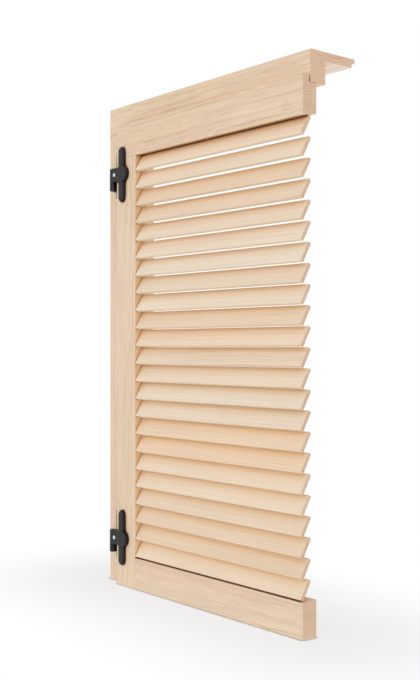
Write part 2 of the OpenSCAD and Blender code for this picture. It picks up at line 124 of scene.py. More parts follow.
# Noises on the other finishes: changes in a metre in X, Y and Z, then the levels of detail
FLECK = (500.0, 500.0, 500.0, 2.0)
FILM = (60.0, 60.0, 60.0, 2.0)
BLOOM = (240.0, 240.0, 240.0, 2.0)
TURNING = (2200.0, 300.0, 2200.0, 2.0)
SPECK = (90.0, 90.0, 90.0, 2.0)
PEEL_DETAIL = 2.0

# Values at which a smooth step starts and ends
END_STEP = (0.6, 0.9)
LIT_FACE_STEP = (0.5, 0.9)
VEIN_STEP = (0.57, 0.72)
CLOUD_STEP = (0.40, 0.70)
GLOW_STEP = (0.45, 0.70)
PATCH_STEP = (0.40, 0.60)
FILM_STEP = (0.3, 0.8)
BLOOM_STEP = (0.3, 0.8)
CONTACT_STEP = (0.1, 0.45)

# Shift of the noises from timber to timber, and of the slats' numbers before the draw
SEED_STEPS = (3.7, 1.3, 2.1)
DRAW_START = 0.37
# Share of late wood through a year, as stops of place and level
SEASONS = ((0.0, 0.3), (0.1, 0.0), (0.45, 0.1), (0.86, 1.0), (0.95, 0.9), (1.0, 0.3))
# Least strength of a year's late wood, and of the figure between its patches
WEAK_YEAR = 0.3
FAINT_PATCH = 0.35
# Spread of roughness that each noise brings to its finish
LATE_POLISH = 0.08
FIBRE_ROUGHNESS = 0.1
FLECK_ROUGHNESS = 0.2
FILM_ROUGHNESS = 0.15
PEEL_ROUGHNESS = 0.1
BLOOM_ROUGHNESS = 0.2
TURNING_ROUGHNESS = 0.1
# Shares of fibres and of late wood in the raised grain, and the heights of the reliefs
FIBRE_RELIEF = 0.6
LATE_RELIEF = 0.4
GRAIN_HEIGHT = 0.2 * MM
PEEL_HEIGHT = 0.1 * MM
TURNING_HEIGHT = 0.05 * MM
# Spread of tone in the dowels' flecks and in the floor's specks, and their plain finishes
FLECK_TONE = 0.3
DOWEL_ROUGHNESS = 0.6
SPECK_TONE = 0.02
FLOOR_ROUGHNESS = 0.8
FLOOR_GLOSS = 0.1
OCCLUSION_SAMPLES = 4
# Numbers of a Mix node's sockets for a factor, two colours and their result
MIX_FACTOR, MIX_FIRST, MIX_SECOND, MIX_RESULT = 0, 6, 7, 2

# Angle between faces past which an edge stays sharp
SHARP_ANGLE = math.radians(38.0)
# A strap's rows of points over its tip and along its bar, its points across, and the power of its crown
TIP_ROWS = 14
BAR_ROWS = 5
CROWN_POINTS = 33
CROWN_POWER = 4
# Angle from a strap's long axis to the first row of its tip
FIRST_TURN = math.radians(10.8)
# Least radius of a cross recess over its arms' radius, and how sharply the arms fall to it
CROSS_WAIST = 0.36
CROSS_POWER = 5

# Rows of turned profiles: radius as a share of a width, height as a share of a height, pull to the drive
SHANK_END = ((0.80, 0.00, 0.0), (1.00, 0.20, 0.0))
LOCK_RIM = ((0.96, 0.00, 0.0), (1.00, 0.04, 0.0))
LOCK_HEAD = ((1.00, 0.35, 0.0), (0.95, 0.68, 0.0), (0.85, 0.88, 0.0), (0.70, 1.00, 0.0))
LOCK_SOCKET = ((1.06, 1.00, 0.7), (1.00, 0.95, 1.0), (1.00, 0.25, 1.0), (0.50, 0.20, 0.5))
BOLT_RIM = ((0.97, 0.00, 0.0), (1.00, 0.03, 0.0))
BOLT_HEAD = (
    (1.00, 0.30, 0.0), (0.96, 0.55, 0.0), (0.86, 0.80, 0.0), (0.70, 0.95, 0.0), (0.55, 1.00, 0.0),
)
BOLT_MOUTH = ((1.08, 1.00, 0.7), (1.00, 0.97, 1.0))
BOLT_FLOOR = ((1.00, 0.00, 1.0), (0.40, -0.10, 0.5))
SCREW_POINT = ((0.15, 0.00, 0.0), (0.80, 2.00, 0.0), (1.00, 3.00, 0.0))
SCREW_HEAD = ((0.98, -0.10, 0.0), (1.00, -0.03, 0.0), (0.97, 0.00, 0.0))
SCREW_CROSS = ((1.10, 0.00, 0.3), (1.00, -0.05, 1.0), (0.70, -0.45, 1.0), (0.20, -0.50, 0.5))


class Wire:
    """A shader socket that stands in a Python expression; each operator adds a Math node."""

    def __init__(self, sheet, socket):
        self.sheet = sheet
        self.socket = socket

    def out(self, key):
        """Another output of the same node, by name or number."""
        return Wire(self.sheet, self.socket.node.outputs[key])

    def __add__(self, other):
        return self.sheet.math("ADD", self, other)

    def __sub__(self, other):
        return self.sheet.math("SUBTRACT", self, other)

    def __rsub__(self, other):
        return self.sheet.math("SUBTRACT", other, self)

    def __mul__(self, other):
        return self.sheet.math("MULTIPLY", self, other)

    def __truediv__(self, other):
        return self.sheet.math("DIVIDE", self, other)

    def __rtruediv__(self, other):
        return self.sheet.math("DIVIDE", other, self)

    __radd__ = __add__
    __rmul__ = __mul__


class NodeSheet:
    """The node tree of a material or of the world, emptied and written node by node."""

    def __init__(self, owner, output="ShaderNodeOutputMaterial"):
        owner.use_nodes = True
        self.output = output
        self.tree = owner.node_tree
        self.tree.nodes.clear()

    def node(self, kind, settings=None, inputs=None):
        """Adds a node of a kind, makes its settings, then gives its sockets values or links."""
        made = self.tree.nodes.new(kind)
        for key, value in (settings or {}).items():
            if key == "stops":
                self.set_stops(made.color_ramp, value)
            else:
                setattr(made, key, value)
        for key, value in (inputs or {}).items():
            if isinstance(value, Wire):
                self.tree.links.new(value.socket, made.inputs[key])
            else:
                made.inputs[key].default_value = value
        return Wire(self, made.outputs[0]) if made.outputs else made

    @staticmethod
    def set_stops(ramp, stops):
        """Gives a ramp its grey stops as pairs of place and level."""
        while len(ramp.elements) < len(stops):
            ramp.elements.new(1.0)
        for element, (place, level) in zip(ramp.elements, stops):
            element.position = place
            element.color = (level, level, level, 1.0)

    def math(self, operation, *values):
        """A value worked out from others."""
        return self.node("ShaderNodeMath", {"operation": operation}, dict(enumerate(values)))

    def mix(self, factor, first, second):
        """Colour from first to second by a factor."""
        inputs = {MIX_FACTOR: factor, MIX_FIRST: first, MIX_SECOND: second}
        return self.node("ShaderNodeMix", {"data_type": "RGBA"}, inputs).out(MIX_RESULT)

    def scaled(self, vector, factor):
        """A vector or a colour times a value."""
        return self.node("ShaderNodeVectorMath", {"operation": "SCALE"}, {0: vector, "Scale": factor})

    def split(self, vector):
        """A vector's three values, as outputs X, Y and Z."""
        return self.node("ShaderNodeSeparateXYZ", None, {0: vector})

    def joined(self, *values):
        """A vector of three values."""
        return self.node("ShaderNodeCombineXYZ", None, dict(enumerate(values)))

    def noise(self, vector, kind, start=(0.0, 0.0, 0.0)):
        """Noise from 0 to 1 of one of the kinds above, on a vector that it stretches and shifts."""
        *stretch, detail = kind
        laying = {"Vector": vector, "Location": start, "Scale": stretch}
        placed = self.node("ShaderNodeMapping", None, laying)
        return self.node("ShaderNodeTexNoise", None, {"Vector": placed, "Scale": 1.0, "Detail": detail})

    def swing(self, vector, kind, start=(0.0, 0.0, 0.0)):
        """Noise that swings to either side of 0."""
        return self.noise(vector, kind, start) - MEAN

    def smooth(self, value, low, high):
        """A smooth step from 0 to 1 as a value goes from low to high."""
        limits = {"Value": value, "From Min": low, "From Max": high}
        return self.node("ShaderNodeMapRange", {"interpolation_type": "SMOOTHSTEP"}, limits)

    def draw(self, number):
        """A random value from 0 to 1 for each number, and as output Color a random vector."""
        return self.node("ShaderNodeTexWhiteNoise", {"noise_dimensions": "1D"}, {"W": number})

    def hidden(self, reach):
        """Share of the sky that other surfaces within a reach hide."""
        settings = {"samples": OCCLUSION_SAMPLES}
        return 1.0 - self.node("ShaderNodeAmbientOcclusion", settings, {"Distance": reach}).out("AO")

    def bump(self, height, strength, distance):
        """A normal that a height from 0 to 1 raises."""
        inputs = {"Height": height, "Strength": strength, "Distance": distance}
        return self.node("ShaderNodeBump", None, inputs)

    def surface(self, shader):
        """Ends the sheet in its output."""
        self.node(self.output, None, {"Surface": shader})

    def coat(self, inputs):
        """Ends the sheet in a plain shader with these inputs."""
        self.surface(self.node("ShaderNodeBsdfPrincipled", None, inputs))


def opaque(colour):
    """A colour property as a socket's four values."""
    return (*colour, 1.0)


def middle(node):
    """Middle of a CAD node's box."""
    low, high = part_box(node)
    return (low + high) / 2


def coated(node, material):
    """Puts a material on a CAD node in place of the one it came with."""
    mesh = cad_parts[node].data
    mesh.materials.clear()
    mesh.materials.append(material)


def late_wood(sheet, look, timber, sway, shift):
    """Share of late wood: a wave over the years of growth between a spot and the pith line.

    The years are the distance from the line over a ring's width. The line wanders along the grain, a
    ring ripples and sways from its circle, and some years grow wider than others.
    """
    spot = sheet.split(timber)
    bend = sheet.split(sheet.noise(timber, BEND, shift).out("Color"))
    core = sheet.joined(
        0.0,
        spot.out("Y") + (bend.out("X") - MEAN) * look.wander,
        spot.out("Z") + (bend.out("Y") - MEAN) * look.wander,
    )
    radius = sheet.node("ShaderNodeVectorMath", {"operation": "LENGTH"}, {0: core}).out("Value")
    years = (radius + sheet.swing(timber, RIPPLE, shift) * look.ripple + sway) / look.ring_width
    years = years + sheet.swing(sheet.joined(years, 0.0, 0.0), PACE, shift) * PACE_SPREAD
    vigour = WEAK_YEAR + sheet.draw(sheet.math("FLOOR", years)) * (1.0 - WEAK_YEAR)
    return sheet.node("ShaderNodeValToRGB", {"stops": SEASONS}, {0: sheet.math("FRACT", years)}) * vigour


def shade_in_nooks(sheet, look, colour, end):
    """Paints shade into a wood colour by occlusion: darker in nooks, and darker still in crevices, but
    for sawn ends.
    """
    nook_shade = sheet.smooth(sheet.hidden(look.nook_shade_reach), look.nook_shade_start, look.nook_shade_end)
    colour = sheet.mix(nook_shade * look.nook_shade, colour, opaque(look.nook_shade_colour))
    crevice_shade = sheet.smooth(sheet.hidden(look.crevice_shade_reach), look.crevice_shade_start, look.crevice_shade_end)
    return sheet.mix(crevice_shade * (1.0 - end) * look.crevice_shade, colour, opaque(look.crevice_shade_colour))


def softwood(name, look, grain, pith, seed, lively=1.0, lottery=None, painted_light_face=None):
    """Solid softwood: growth rings are shells round a pith line that runs along the grain.

    pith is the line's place across and up, and seed shifts the figure. lively scales the streaks and
    their sway. lottery, where given, draws a random vector for each slat, which sets its pith, figure,
    tone and colour. painted_light_face, where given, is the axis and sign of a face that is painted
    paler as painted light, and its colour's name.
    """
    material = bpy.data.materials.new(name)
    sheet = NodeSheet(material)
    texture = sheet.node("ShaderNodeTexCoord")
    place = sheet.split(texture.out("Object"))
    facing = sheet.split(texture.out("Normal"))
    end = sheet.smooth(sheet.math("ABSOLUTE", facing.out(grain)), *END_STEP)
    along, across, up = (place.out(axis) for axis in GRAIN_ORDER[grain])
    across = across - pith[0]
    up = up - pith[1]
    shift = [seed * step for step in SEED_STEPS]
    tone = 1.0
    if lottery:
        ticket = lottery(sheet, place)
        chance = sheet.split(ticket)
        across = across + (chance.out("X") - MEAN) * look.slat_scatter
        up = up + (chance.out("Y") - MEAN) * look.slat_scatter
        tone = 1.0 + (chance.out("Z") - MEAN) * look.slat_tone
        shift = sheet.scaled(ticket, look.slat_seed)

    timber = sheet.joined(along, across, up)
    sway = sheet.swing(timber, SWAY, shift) * look.sway * lively
    wavy = sheet.joined(along, across + sway, up + sway)
    late = late_wood(sheet, look, timber, sway, shift)
    fibre = sheet.swing(wavy, FIBRE, shift)
    streak = sheet.swing(wavy, STREAK, shift)
    vein = sheet.smooth(sheet.noise(wavy, VEIN, shift), *VEIN_STEP)
    dash = sheet.swing(wavy, DASH, shift)
    cloud = sheet.smooth(sheet.noise(timber, CLOUD, shift), *CLOUD_STEP)
    glow = sheet.smooth(sheet.noise(wavy, GLOW, shift), *GLOW_STEP)
    patch = sheet.smooth(sheet.noise(timber, PATCH, shift), *PATCH_STEP)

    ground = sheet.mix(cloud * look.clouding, opaque(look.early_colour), opaque(look.warm_colour))
    ground = sheet.mix(glow * look.glow, ground, opaque(look.gold_colour))
    if lottery:
        lean = sheet.mix(chance.out("Y"), opaque(look.slat_colour), opaque(look.slat_blush))
        ground = sheet.mix((1.0 - end) * look.slat_pale, ground, lean)
    # Painted light: a lining's face into the opening leans to a paler colour that stands in for the light
    # it gets
    if painted_light_face:
        axis, sign, lean = painted_light_face
        lit_face_share = sheet.smooth(facing.out(axis) * sign, *LIT_FACE_STEP)
        ground = sheet.mix((1.0 - end) * lit_face_share * look.lining_painted_light, ground, opaque(getattr(look, lean)))

    long_face = (1.0 - end) * lively
    figure = late * (FAINT_PATCH + patch * (1.0 - FAINT_PATCH))
    marks = (streak * look.streaks + vein * look.veins) * long_face
    depth = figure * (look.contrast + end * look.end_contrast) + marks
    colour = sheet.mix(depth, ground, opaque(look.late_colour))
    colour = sheet.mix(end * look.end_shade, colour, opaque(look.end_colour))
    # Painted shade: occlusion darkens the colour in nooks and crevices, where shade falls
    colour = shade_in_nooks(sheet, look, colour, end)
    value = (1.0 + fibre * look.fibres - dash * long_face * look.dashes) * tone
    relief = fibre * FIBRE_RELIEF + late * LATE_RELIEF
    sheet.coat({
        "Base Color": sheet.scaled(colour, value),
        "Roughness": look.roughness - late * LATE_POLISH + fibre * FIBRE_ROUGHNESS,
        "Specular IOR Level": look.gloss,
        "Normal": sheet.bump(relief, look.relief, GRAIN_HEIGHT),
    })
    return material


def slat_lottery(sheet, place):
    """A random vector for each slat, drawn by the slat's number from the bottom."""
    first, last = middle(SLATS[0]).z, middle(SLATS[-1]).z
    pitch = (last - first) / (len(SLATS) - 1)
    number = sheet.math("ROUND", (place.out("Z") - first) / pitch)
    return sheet.draw(number + DRAW_START).out("Color")


def timber_finish(node, cut, look, seed):
    """Softwood for one timber, with its pith set from the timber's own middle."""
    grain, offset = cut
    centre = middle(node)
    across, up = (getattr(centre, axis.lower()) for axis in GRAIN_ORDER[grain][1:])
    pith = (across + offset[0] * MM, up + offset[1] * MM)
    coated(node, softwood(f"{node}_softwood", look, grain, pith, seed, painted_light_face=PAINTED_LIGHT_FACES.get(node)))


def turned_hardwood(name, look):
    """Hardwood of the dowels, with fine flecks."""
    material = bpy.data.materials.new(name)
    sheet = NodeSheet(material)
    fleck = sheet.swing(sheet.node("ShaderNodeTexCoord").out("Object"), FLECK)
    sheet.coat({
        "Base Color": sheet.scaled(look.colour[:], 1.0 + fleck * FLECK_TONE),
        "Roughness": DOWEL_ROUGHNESS + fleck * FLECK_ROUGHNESS,
    })
    return material


def powder_black(name, look):
    """Satin black powder coat: a fine orange peel, patches of thinner film, and painted shade that
    darkens its nooks.
    """
    material = bpy.data.materials.new(name)
    sheet = NodeSheet(material)
    place = sheet.node("ShaderNodeTexCoord").out("Object")
    fine = 1.0 / look.peel
    peel = sheet.noise(place, (fine, fine, fine, PEEL_DETAIL))
    film = sheet.noise(place, FILM)
    colour = sheet.mix(sheet.smooth(film, *FILM_STEP), opaque(look.colour), opaque(look.worn_colour))
    # Painted shade: occlusion darkens the coat in nooks, where shade falls
    nook_shade = sheet.smooth(sheet.hidden(look.nook_shade_reach), look.nook_shade_start, look.nook_shade_end)
    spread = (film - MEAN) * FILM_ROUGHNESS + (peel - MEAN) * PEEL_ROUGHNESS
    sheet.coat({
        "Base Color": sheet.mix(nook_shade, colour, opaque(look.nook_shade_colour)),
        "Roughness": look.roughness + spread,
        "Specular IOR Level": look.gloss,
        "Normal": sheet.bump(peel, look.relief, PEEL_HEIGHT),
    })
    return material


def zinc_bright(name, look):
    """Bright zinc plate with faint turning marks and a cloudy bloom."""
    material = bpy.data.materials.new(name)
    sheet = NodeSheet(material)
    place = sheet.node("ShaderNodeTexCoord").out("Object")
    marks = sheet.noise(place, TURNING)
    bloom = sheet.noise(place, BLOOM)
    cloudy = sheet.smooth(bloom, *BLOOM_STEP)
    spread = (bloom - MEAN) * BLOOM_ROUGHNESS + (marks - MEAN) * TURNING_ROUGHNESS
    sheet.coat({
        "Base Color": sheet.mix(cloudy, opaque(look.colour), opaque(look.bloom_colour)),
        "Metallic": 1.0,
        "Roughness": look.roughness + spread,
        "Normal": sheet.bump(marks, look.relief, TURNING_HEIGHT),
    })
    return material


def new_piece(name, points, faces, material, body, slot, *nodes):
    """Makes a piece whose place is in its mesh: it rides on a body and stands for CAD nodes."""
    mesh = bpy.data.meshes.new(name)
    mesh.from_pydata(points.tolist(), [], [corners for kind in faces for corners in kind.tolist()])
    mesh.shade_smooth()
    mesh.set_sharp_from_angle(angle=SHARP_ANGLE)
    mesh.materials.append(material)
    piece = bpy.data.objects.new(name, mesh)
    bpy.context.scene.collection.objects.link(piece)
    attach(piece, body)
    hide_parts(*nodes)


def ring_faces(rings, sides):
    """Quads between closed rings, and triangles to the two poles, numbered after the rings' points."""
    ring = np.arange(rings * sides).reshape(rings, sides)
    after = np.roll(ring, -1, axis=1)
    quads = np.stack([ring[:-1], after[:-1], after[1:], ring[1:]], axis=-1).reshape(-1, 4)
    pole = np.full(sides, rings * sides)
    low = np.stack([after[0], ring[0], pole], axis=-1)
    high = np.stack([ring[-1], after[-1], pole + 1], axis=-1)
    return [quads, np.vstack([low, high])]


def rows(shares, width, height, start=0.0):
    """Rows of a turned profile from shares of a width and of a height, which counts from a start."""
    return [(width * across, start + height * up, pull) for across, up, pull in shares]


def turned(profile, drive, sides):
    """A turned piece: at height h and angle t the radius is r, pulled to the drive's outline by a share.

    profile holds rows of radius, height and share. drive gives the outline's radius at angle t where
    the radius is one.
    """
    angle = np.linspace(0.0, 2.0 * math.pi, sides, endpoint=False)
    radius, height, share = np.array(profile).T[:, :, None]
    reach = radius * (1.0 - share + share * drive(angle)[None, :])
    level = np.broadcast_to(height, reach.shape)
    rings = np.stack([reach * np.cos(angle), reach * np.sin(angle), level], axis=-1)
    poles = np.array([[0.0, 0.0, profile[0][1]], [0.0, 0.0, profile[-1][1]]])
    return np.vstack([rings.reshape(-1, 3), poles]), ring_faces(len(profile), sides)


def hexagon(angle):
    """Radius over a hexagon's corner radius: cos 30 over the cosine of the angle to the nearest flat."""
    sixth = math.pi / 3.0
    return math.cos(sixth / 2.0) / np.cos(angle % sixth - sixth / 2.0)


def cross(angle):
    """Radius of a cross recess: four arms fall to a waist by a power of cos of twice the angle."""
    return CROSS_WAIST + (1.0 - CROSS_WAIST) * np.abs(np.cos(2.0 * angle)) ** CROSS_POWER


def set_out(shape, places, outward):
    """Copies of a shape turned along +Z, laid with that axis outward (+1 or -1) in Y at each place."""
    points, faces = shape
    laid = np.stack([-outward * points[:, 0], outward * points[:, 2], points[:, 1]], axis=-1)
    spread = (laid[None] + np.array(places)[:, None]).reshape(-1, 3)
    starts = np.arange(len(places))[:, None, None] * len(points)
    return spread, [(kind + starts).reshape(-1, kind.shape[1]) for kind in faces]


def strap_end(across, width, length, lap_z, cap_length):
    """Half widths and heights of a strap's rows of points from its tip to its lap, where they meet lap_z.

    The tip is a half ellipse: the half width goes as the sine of an angle, and the height as its cosine.
    """
    turn = np.linspace(FIRST_TURN, math.pi / 2.0, TIP_ROWS)
    straight = length / 2.0 - cap_length
    cap = straight + cap_length * np.cos(turn)
    steps = np.arange(1, BAR_ROWS + 1)[:, None] / BAR_ROWS
    bar = straight + (lap_z - straight) * steps
    heights = np.vstack([np.broadcast_to(cap[:, None], (TIP_ROWS, len(across))), bar])
    halves = np.concatenate([width / 2.0 * np.sin(turn), np.full(BAR_ROWS, width / 2.0)])
    return halves, heights


def strap_half(size, lap, look, side):
    """Rings of the half of a strap above (side 1) or below (side -1) its lap, from the tip inward.

    The front is level across the middle and falls to the flanks as the root of one less a fourth power.
    Towards the tip it falls as a quarter ellipse. Inside the lap it is cut level, along the disc's
    circle or the arm's edge.
    """
    width, length, thick = size
    across = np.sin(np.linspace(-math.pi / 2.0, math.pi / 2.0, CROWN_POINTS))
    disc = np.sqrt(lap["radius"] ** 2 - (across * width / 2.0 - lap["offset"]) ** 2)
    lap_z = np.maximum(disc, lap["arm"]) + side * lap["rise"]
    halves, heights = strap_end(across, width, length, lap_z, look.cap_length)
    inward = np.clip((length / 2.0 - heights) / look.end_slope, 0.0, 1.0)
    ridge = look.tip + (thick - look.tip) * np.sqrt(1.0 - (1.0 - inward) ** 2)
    flank = look.flank * ridge
    crown = flank + (ridge - flank) * np.sqrt(1.0 - across ** CROWN_POWER)
    halves = np.append(halves, halves[-1])
    heights = np.vstack([heights, heights[-1:]])
    crown = np.vstack([crown, np.minimum(crown[-1:], look.waist)])
    front = np.stack([halves[:, None] * across, -crown, heights], axis=-1)
    edge = np.stack([halves, np.zeros_like(halves)], axis=-1)
    right = np.column_stack([edge, heights[:, -1]])[:, None]
    left = np.column_stack([edge * (-1.0, 1.0), heights[:, 0]])[:, None]
    return np.concatenate([front, right, left], axis=1) * (1.0, 1.0, side)


def strap_rings(size, lap, look):
    """A strap from its lower to its upper tip, as rings across its front and round its flat back."""
    rings = np.concatenate([strap_half(size, lap, look, -1.0), strap_half(size, lap, look, 1.0)[::-1]])
    tip = np.array([0.0, -look.tip / 2.0, size[1] / 2.0])
    points = np.vstack([rings.reshape(-1, 3), tip * (1.0, 1.0, -1.0), tip])
    return points, ring_faces(len(rings), rings.shape[1])


def tint(name, description, default):
    """A colour setting."""
    return FloatVectorProperty(
        name=name, description=description, subtype="COLOR", default=default, min=0.0, max=1.0,
    )


def measure(name, description, default, least, most):
    """A length setting, given in millimetres."""
    return FloatProperty(
        name=name, description=description, unit="LENGTH",
        default=default * MM, min=least * MM, max=most * MM,
    )


def slider(name, description, default, least=0.0, most=1.0):
    """A setting that is a share or a strength."""
    return FloatProperty(
        name=name, description=description, subtype="FACTOR", default=default, min=least, max=most,
    )


class SoftwoodLook(bpy.types.PropertyGroup):
    """Colours and growth of the softwood."""

    early_colour: tint("Early wood", "Colour of the pale spring growth", (0.842, 0.664, 0.496))
    late_colour: tint("Late wood", "Colour of the dark summer growth", (0.540, 0.310, 0.160))
    warm_colour: tint("Warm patches", "Colour of the broad warm patches", (0.795, 0.565, 0.415))
    gold_colour: tint("Golden stripes", "Colour of the narrow golden stripes", (0.805, 0.635, 0.425))
    end_colour: tint("End grain", "Colour that sawn ends lean to", (0.680, 0.390, 0.250))
    slat_colour: tint("Slat wood", "Colour that the palest slat leans to", (0.955, 0.880, 0.740))
    slat_blush: tint("Slat blush", "Colour that the warmest slat leans to", (0.945, 0.735, 0.540))
    # Painted light: paler colours that stand in for the light on the head lining's underside and the jamb
    # lining's inner face
    lining_colour: tint("Head lining", "Colour that its underside leans to", (0.860, 0.775, 0.680))
    reveal_colour: tint("Jamb lining", "Colour that its inner face leans to", (1.000, 0.850, 0.640))
    # Painted shade: the colours that the wood is darkened to in nooks and crevices, where shade falls
    nook_shade_colour: tint("Nook colour", "Colour of the wood in a nook", (0.70, 0.39, 0.13))
    crevice_shade_colour: tint("Crevice colour", "Colour of the wood deep in a crevice", (0.21, 0.055, 0.005))
    ring_width: measure("Ring width", "Average width of a year's growth", 3.8, 0.5, 12.0)
    wander: measure("Wander", "How far the pith wanders along a timber", 26.0, 0.0, 80.0)
    ripple: measure("Ripple", "How far a ring strays from its circle", 3.0, 0.0, 12.0)
    sway: measure("Sway", "How far the grain sways along a timber", 12.0, 0.0, 30.0)
    contrast: slider("Contrast", "Strength of the late wood on the long faces", 0.24)
    end_contrast: slider("End contrast", "Strength that the late wood gains on sawn ends", 0.62)
    end_shade: slider("End shade", "How far a sawn end leans to the end grain's colour", 0.35)
    streaks: slider("Streaks", "Strength of the long streaks", 1.05, most=3.0)
    veins: slider("Veins", "Strength of the thin dark veins", 0.32)
    dashes: slider("Dashes", "Strength of the short dashes", 0.30)
    glow: slider("Glow", "Strength of the golden stripes", 0.60)
    clouding: slider("Clouding", "Strength of the warm patches", 0.55)
    fibres: slider("Fibres", "Strength of the fine fibres", 0.10)
    # Painted shade in nooks and crevices: its strengths, the hidden shares where it begins and is
    # darkest, and the reach of its occlusion
    nook_shade: slider("Nooks", "How far the wood in a nook leans to the nook's colour", 0.72)
    nook_shade_start: slider("Nook start", "Share of the sky that is hidden where a nook begins", 0.12)
    nook_shade_end: slider("Nook end", "Share of the sky that is hidden where a nook is darkest", 0.65)
    nook_shade_reach: measure("Nook reach", "Distance within which neighbours make a nook", 26.0, 1.0, 200.0)
    crevice_shade: slider("Crevices", "How far the wood in a crevice leans to the crevice's colour", 1.0)
    crevice_shade_start: slider("Crevice start", "Share of the sky that is hidden where it begins", 0.33)
    crevice_shade_end: slider("Crevice end", "Share of the sky that is hidden where it is darkest", 0.62)
    crevice_shade_reach: measure("Crevice reach", "Distance at which neighbours make one", 6.0, 1.0, 50.0)
    relief: slider("Relief", "Strength of the raised grain", 0.25)
    roughness: slider("Roughness", "Roughness of the planed surface", 0.62)
    gloss: slider("Gloss", "Specular level of the planed surface", 0.12)
    slat_pale: slider("Pale slats", "How far the slats lean to their own colours", 0.60)
    slat_lively: slider("Slat streaks", "Strength of the slats' streaks and their sway", 0.32, most=2.0)
    slat_tone: slider("Slat tones", "Spread of tone from slat to slat", 0.05, most=0.5)
    slat_scatter: measure("Slat scatter", "Spread of the pith from slat to slat", 160.0, 0.0, 1000.0)
    slat_seed: FloatProperty(
        name="Slat seed", description="Spread of the figure from slat to slat",
        default=40.0, min=0.0, max=1000.0,
    )
    # Painted light: how far the linings' inner faces lean to their paler colours
    lining_painted_light: slider("Pale linings", "How far the linings' inner faces lean to their colours", 0.85)


class DowelLook(bpy.types.PropertyGroup):
    """Colour of the dowels."""

    colour: tint("Dowel", "Colour of the turned hardwood", (0.70, 0.50, 0.28))


class IronLook(bpy.types.PropertyGroup):
    """Finish and form of the black hinges."""

    colour: tint("Black", "Colour of the powder coat", (0.017, 0.017, 0.0172))
    worn_colour: tint("Thin film", "Colour of the coat where it is thin", (0.024, 0.024, 0.0242))
    # Painted shade: the colour the coat is darkened to in nooks, the hidden shares where it begins and is
    # darkest, and its reach
    nook_shade_colour: tint("Nook colour", "Colour of the coat in a nook", (0.0015, 0.0015, 0.0016))
    nook_shade_start: slider("Nook start", "Share of the sky that is hidden where a nook begins", 0.08)
    nook_shade_end: slider("Nook end", "Share of the sky that is hidden where a nook is darkest", 0.45)
    nook_shade_reach: measure("Nook reach", "Distance within which neighbours make a nook", 16.0, 1.0, 200.0)
    roughness: slider("Roughness", "Roughness of the coat", 0.42)
    gloss: slider("Gloss", "Specular level of the coat", 0.22)
    relief: slider("Orange peel", "Strength of the orange peel", 0.12)
    peel: measure("Peel size", "Size of the orange peel", 1.1, 0.1, 10.0)
    lap_play: measure("Lap play", "Clearance between a strap and the disc over it", 0.1, 0.0, 1.0)
    waist: measure("Strap waist", "Thickness of a strap under its disc", 3.5, 1.0, 5.0)
    knuckle_height: measure("Arm height", "Height of an arm and its knuckle", 29.0, 10.0, 60.0)
    end_slope: measure("End slope", "Length over which a strap falls to its tip", 8.0, 2.0, 40.0)
    cap_length: measure("Cap length", "Length over which a strap narrows to its tip", 13.0, 9.0, 30.0)
    tip: measure("Tip", "Thickness of a strap at its tips", 3.6, 1.0, 6.0)
    flank: slider("Flank", "Share of a strap's thickness that its flanks stand up", 0.80, least=0.1)


class SteelLook(bpy.types.PropertyGroup):
    """Finish and form of the steel fasteners."""

    colour: tint("Zinc", "Colour of the zinc plate", (0.80, 0.80, 0.79))
    bloom_colour: tint("Bloom", "Colour of the plate where it is cloudy", (0.66, 0.67, 0.68))
    roughness: slider("Roughness", "Roughness of the plate", 0.34)
    relief: slider("Turning marks", "Strength of the turning marks", 0.15)
    sides: IntProperty(
        name="Sides", description="Sides of a turned piece, a multiple of 24",
        default=48, min=24, max=96,
    )
    lock_shank: measure("Lock shank", "Diameter of a lock screw's shank", 5.0, 2.0, 8.0)
    lock_head: measure("Lock head", "Height of a lock screw's head", 1.6, 0.5, 5.0)
    lock_socket: measure("Lock socket", "Width across the flats of a lock screw's socket", 3.0, 1.0, 6.0)
    bolt_shank: measure("Bolt shank", "Diameter of the bolts through the stile", 6.0, 3.0, 10.0)
    bolt_socket: measure("Bolt socket", "Width across the flats of a bolt's socket", 4.0, 1.0, 8.0)
    socket_depth: measure("Socket depth", "Depth of a bolt's socket", 2.0, 0.5, 5.0)
    screw_head: measure("Screw head", "Diameter of a pintle screw's head", 9.0, 4.0, 15.0)
    screw_shank: measure("Screw shank", "Diameter of a pintle screw's shank", 5.0, 2.0, 8.0)
    recess: measure("Cross recess", "Width of a pintle screw's cross recess", 5.0, 1.0, 8.0)


